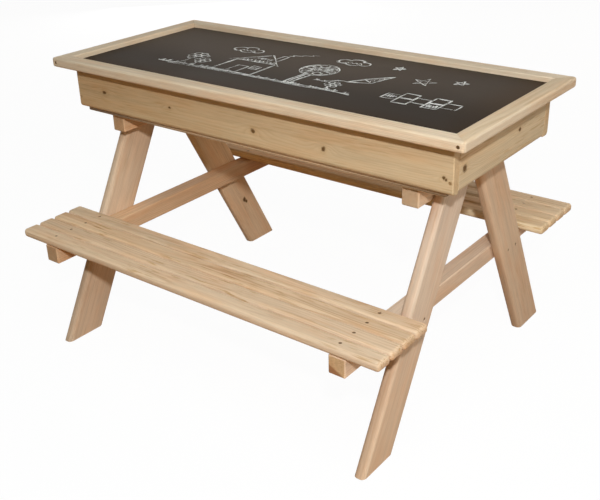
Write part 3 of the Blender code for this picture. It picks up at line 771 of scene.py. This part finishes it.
# How far a whole pass strays, how the line wanders, and how it trembles at each point
FIRST_DRIFT, SECOND_DRIFT, WANDER, TREMBLE = 0.0003, 0.0022, 0.0006, 0.00012
START_PHASES, PACES = (0, 6.28), (0.10, 0.22)
PRESS_MIDDLE, PRESS_SWING, PRESS_PACE = 0.95, 0.45, 0.9
HALF_WIDTH_SHARES, SECOND_WIDTH_SHARE = (0.50, 0.72), 0.6
# The shares of strokes that are drawn once only, of gaps in a ribbon, and of squares that are filled in
ONCE_SHARE, GAP_SHARE, FILLED_SHARE = 0.25, 0.03, 0.45


def loop(centre, radius, start=0, end=360, squeeze=1.0, steps=30):
    """Points round a centre, from one angle in degrees to another."""
    points = []
    for i in range(steps + 1):
        angle = math.radians(start + (end - start) * i / steps)
        points.append((centre[0] + radius * math.cos(angle), centre[1] + squeeze * radius * math.sin(angle)))
    return points


def scribble(start, end, height, turns, rng):
    """A fast zigzag between two points, as a hand fills an area."""
    a, b = Vector(start), Vector(end)
    across = Vector((a.y - b.y, b.x - a.x)).normalized() * height
    points = []
    for i in range(turns * 2 + 1):
        side = (i % 2 - 0.5) * rng.uniform(0.6, 1.2)
        spot = a.lerp(b, i / (turns * 2)) + across * side
        points.append((spot.x, spot.y))
    return points


def draw_house(draw, rng):
    draw([(-0.155, -0.065), (-0.155, 0.010), (-0.062, 0.012), (-0.060, -0.066), (-0.158, -0.064)])
    draw([(-0.168, 0.004), (-0.108, 0.066), (-0.050, 0.006)], BOLD)
    draw(scribble((-0.150, 0.018), (-0.066, 0.020), 0.013, 9, rng), FINE)
    draw(scribble((-0.128, 0.036), (-0.088, 0.036), 0.014, 5, rng), FINE)
    draw([(-0.122, -0.066), (-0.122, -0.022), (-0.098, -0.022), (-0.098, -0.066)])
    draw([(-0.090, -0.014), (-0.072, -0.014), (-0.072, -0.034), (-0.090, -0.034), (-0.090, -0.013)], FINE)
    draw([(-0.081, -0.014), (-0.081, -0.034)], HAIR)
    draw([(-0.091, -0.024), (-0.071, -0.024)], HAIR)
    draw([(-0.086, 0.046), (-0.086, 0.072), (-0.074, 0.072), (-0.074, 0.034)], LIGHT)
    draw([(-0.080 + 0.006 * i + 0.007 * math.sin(2.4 * i), 0.078 + 0.004 * i) for i in range(9)], THIN)


def draw_tree(draw, rng):
    middle_x, middle_y = 0.030, 0.028
    draw(loop((middle_x, middle_y), 0.037, -70, 310), BROAD)
    for i in range(11):
        angle = math.radians(33 * i)
        draw(loop((middle_x + 0.025 * math.cos(angle), middle_y + 0.024 * math.sin(angle)), 0.010,
                  rng.uniform(0, 90), rng.uniform(300, 420), 0.8, 9), LIGHT)
    draw(scribble((0.010, 0.024), (0.052, 0.036), 0.024, 7, rng), FINE)
    for x in (0.022, 0.028, 0.036):
        draw([(x, -0.008), (x - 0.002, -0.040), (x + rng.uniform(-0.003, 0.003), -0.068)], FIRM)


def draw_flowers(draw):
    for x, y, size in ((-0.236, -0.012, 1.0), (-0.205, -0.034, 0.75), (0.105, -0.036, 0.7)):
        draw(loop((x, y), 0.006 * size, 0, 370, 1.0, 14), MEDIUM)
        for petal in range(6):
            angle = math.radians(60 * petal + 12)
            draw(loop((x + 0.0145 * size * math.cos(angle), y + 0.0145 * size * math.sin(angle)),
                      0.0078 * size, 20, 380, 1.0, 12), LIGHT)
        draw([(x, y - 0.022 * size), (x + 0.003, y - 0.034 * size), (x - 0.001, -0.070)])


def draw_ground(draw, rng):
    ground = [(-0.285, -0.074), (-0.20, -0.070), (-0.10, -0.068), (0.00, -0.070), (0.09, -0.067),
              (0.165, -0.074)]
    draw(ground, HEAVY)
    draw([(x + 0.03, y - 0.005) for x, y in ground[:-1]], MEDIUM)
    for i in range(24):
        x = -0.28 + 0.0185 * i + rng.uniform(-0.004, 0.004)
        tall = rng.uniform(0.007, 0.014)
        draw([(x, -0.072), (x + 0.003, -0.072 + tall), (x + 0.005, -0.072), (x + 0.010, -0.073 + tall * 0.8)],
             FINE)


def draw_kite(draw, rng):
    left, top, right, bottom = (0.135, 0.020), (0.172, 0.058), (0.158, 0.004), (0.118, -0.010)
    draw([left, top, right, bottom, (0.135, 0.022)], STRONG)
    draw([bottom, top], FINE)
    draw([left, right], FINE)
    draw(scribble((0.150, 0.012), (0.166, 0.046), 0.008, 4, rng), HAIR)
    tail = [(0.118 - 0.009 * i, -0.010 - 0.0028 * i + 0.005 * math.sin(1.1 * i)) for i in range(7)]
    draw(tail, THIN)
    for x, y in tail[2::2]:
        draw([(x - 0.004, y + 0.005), (x + 0.003, y - 0.004), (x + 0.004, y + 0.005), (x - 0.004, y - 0.005)],
             FINE)


def draw_clouds(draw, rng):
    for x, y in ((0.035, 0.104), (-0.20, 0.075)):
        draw(loop((x, y), 0.014, 40, 300, 0.9, 14)
             + loop((x + 0.023, y - 0.006), 0.015, 200, 350, 0.8, 10)
             + loop((x + 0.043, y), 0.013, -70, 120, 0.9, 12)
             + loop((x + 0.022, y + 0.010), 0.015, 20, 170, 0.8, 12))
        draw(scribble((x + 0.004, y - 0.004), (x + 0.040, y - 0.002), 0.008, 4, rng), HAIR)


def draw_stars(draw):
    for x, y, size in ((0.232, 0.060, 0.022), (0.290, 0.086, 0.014), (0.150, 0.112, 0.012)):
        angles = [math.radians(90 + 144 * i) for i in range(6)]
        draw([(x + size * math.cos(angle), y + size * math.sin(angle)) for angle in angles], FIRM)


def draw_hopscotch(draw, rng):
    for row, cells in enumerate((1, 2, 1, 2, 1)):
        x = 0.215 + 0.028 * row
        for cell in range(cells):
            y = -0.040 - 0.0135 * cells + 0.027 * cell
            draw([(x, y), (x + 0.027, y + 0.001), (x + 0.027, y + 0.026), (x, y + 0.026), (x, y - 0.001)],
                 MEDIUM)
            if rng.random() < FILLED_SHARE:
                draw(scribble((x + 0.004, y + 0.013), (x + 0.023, y + 0.013), 0.014, 4, rng), HAIR)


def doodles(rng):
    """Strokes of a child's drawing in the board's own x and y: (points, width)."""
    strokes = []

    def draw(points, width=NORMAL):
        strokes.append((points, width))

    draw_house(draw, rng)
    draw_tree(draw, rng)
    draw_flowers(draw)
    draw_ground(draw, rng)
    draw_kite(draw, rng)
    draw_clouds(draw, rng)
    draw_stars(draw)
    draw_hopscotch(draw, rng)
    return strokes


def even_points(points, spacing):
    """Points along a polyline at an even spacing."""
    line = [Vector(points[0])]
    for a, b in zip(points, points[1:]):
        a, b = Vector(a), Vector(b)
        steps = max(1, round((b - a).length / spacing))
        line += [a.lerp(b, (i + 1) / steps) for i in range(steps)]
    return line


def add_ribbon(bm, points, width, height, again, rng):
    """One pass over a stroke: a thin ribbon that swells, strays and breaks off here and there."""
    line = even_points(points, POINT_SPACING)
    drift = Vector((rng.uniform(-1, 1), rng.uniform(-1, 1))) * (SECOND_DRIFT if again else FIRST_DRIFT)
    phase, pace = rng.uniform(*START_PHASES), rng.uniform(*PACES)
    pairs = []
    for i, point in enumerate(line):
        ahead = line[min(i + 1, len(line) - 1)] - line[max(i - 1, 0)]
        across = Vector((-ahead.y, ahead.x)).normalized()
        wobble = WANDER * math.sin(phase + pace * i) + rng.uniform(-TREMBLE, TREMBLE)
        press = PRESS_MIDDLE + PRESS_SWING * math.sin(phase * 2 + PRESS_PACE * pace * i)
        half = width * press * (SECOND_WIDTH_SHARE if again else 1.0) * rng.uniform(*HALF_WIDTH_SHARES)
        middle = point + drift + across * wobble
        ends = (middle + across * half, middle - across * half)
        pairs.append([bm.verts.new((p.x, p.y, height)) for p in ends])
    for (a, b), (c, d) in zip(pairs, pairs[1:]):
        if rng.random() > GAP_SHARE:
            bm.faces.new((a, b, d, c))


def add_drawing():
    """Most strokes are gone over twice with an unsteady hand, as thin ragged ribbons on the board."""
    rng = random.Random(11)
    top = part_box("chalkboard")[1][2] + CHALK_LIFT
    bm = bmesh.new()
    for points, width in doodles(rng):
        for again in range(2):
            if again and rng.random() < ONCE_SHARE:
                continue
            add_ribbon(bm, points, width, top + SECOND_LIFT * again, again, rng)
    loose = [v for v in bm.verts if not v.link_faces]
    bmesh.ops.delete(bm, geom=loose, context="VERTS")
    for face in bm.faces:
        if face.normal.z < 0:
            face.normal_flip()
    made = bpy.data.objects.new("chalk_drawing", to_mesh(bm, "chalk_drawing"))
    made.data.materials.append(chalk_material())
    bpy.context.scene.collection.objects.link(made)
    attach(made, "lid")


# Light and floor
AIM = Vector((0, 0, 0.3))
# Each lamp's name, place, size, power in watts and colour
LAMPS = (
    ("key", Vector((1.11, -1.33, 1.32)), 0.07, 21.8, (1.0, 1.0, 0.97)),
    ("front", Vector((0.8, -1.2, 2.6)), 1.6, 27.0, (0.75, 0.93, 1.0)),
    ("right", Vector((3.2, -0.2, 1.0)), 1.6, 21.0, (1.0, 1.0, 0.92)),
    ("low", Vector((1.6, -2.2, 0.9)), 1.8, 6.5, (1.0, 0.76, 0.38)),
    ("back", Vector((0.6, 3.2, 1.8)), 2.4, 32.0, (1.0, 0.79, 0.62)),
    ("rear", Vector((-2.5, 2.5, 0.12)), 1.2, 52.0, (1.0, 0.97, 0.94)),
)
FILL_STRENGTH, FILL_COLOUR = 0.045, (1.0, 0.86, 0.58)
# The floor's side, how much shows of the table's shadow on it, and the colour of what it throws back
FLOOR_SIZE, FLOOR_SHADOW, FLOOR_BOUNCE = 16.0, 0.035, rgb(150, 102, 48)


def add_lamp(name, place, size, power, colour):
    lamp = bpy.data.objects.new(name, bpy.data.lights.new(name, "AREA"))
    lamp.data.shape, lamp.data.size, lamp.data.energy, lamp.data.color = "SQUARE", size, power, colour
    lamp.location = place
    lamp.rotation_euler = (place - AIM).to_track_quat("Z", "Y").to_euler()
    bpy.context.scene.collection.objects.link(lamp)


def seen_directly(g):
    """1 for the camera's rays and for those that gloss and glass send on."""
    path = g.node("LightPath").outputs
    return g.math("MAXIMUM", path["Is Camera Ray"],
                  g.math("MAXIMUM", path["Is Glossy Ray"], path["Is Transmission Ray"]))


def add_world():
    """A backdrop that looks white, and lights the table only faintly."""
    world = bpy.data.worlds.new("studio")
    world.use_nodes = True
    bpy.context.scene.world = world
    g = Graph(world.node_tree)
    shade = world.node_tree.nodes["Background"]
    seen = seen_directly(g)
    g.put(shade.inputs["Color"], g.mix(seen, FILL_COLOUR, WHITE))
    g.put(shade.inputs["Strength"], g.span(seen, 0, 1, FILL_STRENGTH, 1.0))


def add_floor():
    """A floor that looks white but for a faint shadow, and throws warm light back on the table."""
    mesh = bpy.data.meshes.new("floor")
    half = FLOOR_SIZE / 2
    mesh.from_pydata([(-half, -half, 0), (half, -half, 0), (half, half, 0), (-half, half, 0)], [],
                     [(0, 1, 2, 3)])
    floor = bpy.data.objects.new("studio_floor", mesh)
    bpy.context.scene.collection.objects.link(floor)
    made = bpy.data.materials.new("floor_white")
    made.use_nodes = True
    tree = made.node_tree
    tree.nodes.clear()
    g = Graph(tree)
    seen = seen_directly(g)
    matt = g.node("BsdfDiffuse", g.mix(seen, FLOOR_BOUNCE, WHITE))
    glow = g.node("Emission", WHITE, 1.0)
    both = g.node("MixShader", g.times(seen, 1.0 - FLOOR_SHADOW), matt.outputs[0], glow.outputs[0])
    out = tree.nodes.new("ShaderNodeOutputMaterial")
    tree.links.new(both.outputs[0], out.inputs["Surface"])
    mesh.materials.append(made)


def add_light():
    for lamp in LAMPS:
        add_lamp(*lamp)
    add_world()
    add_floor()
    bpy.context.scene.view_settings.view_transform = "Standard"


add_camera()
add_light()
finish_rails()
finish_walls()
finish_trestles()
finish_slats()
finish_floor()
finish_board()
add_screws()
add_drawing()
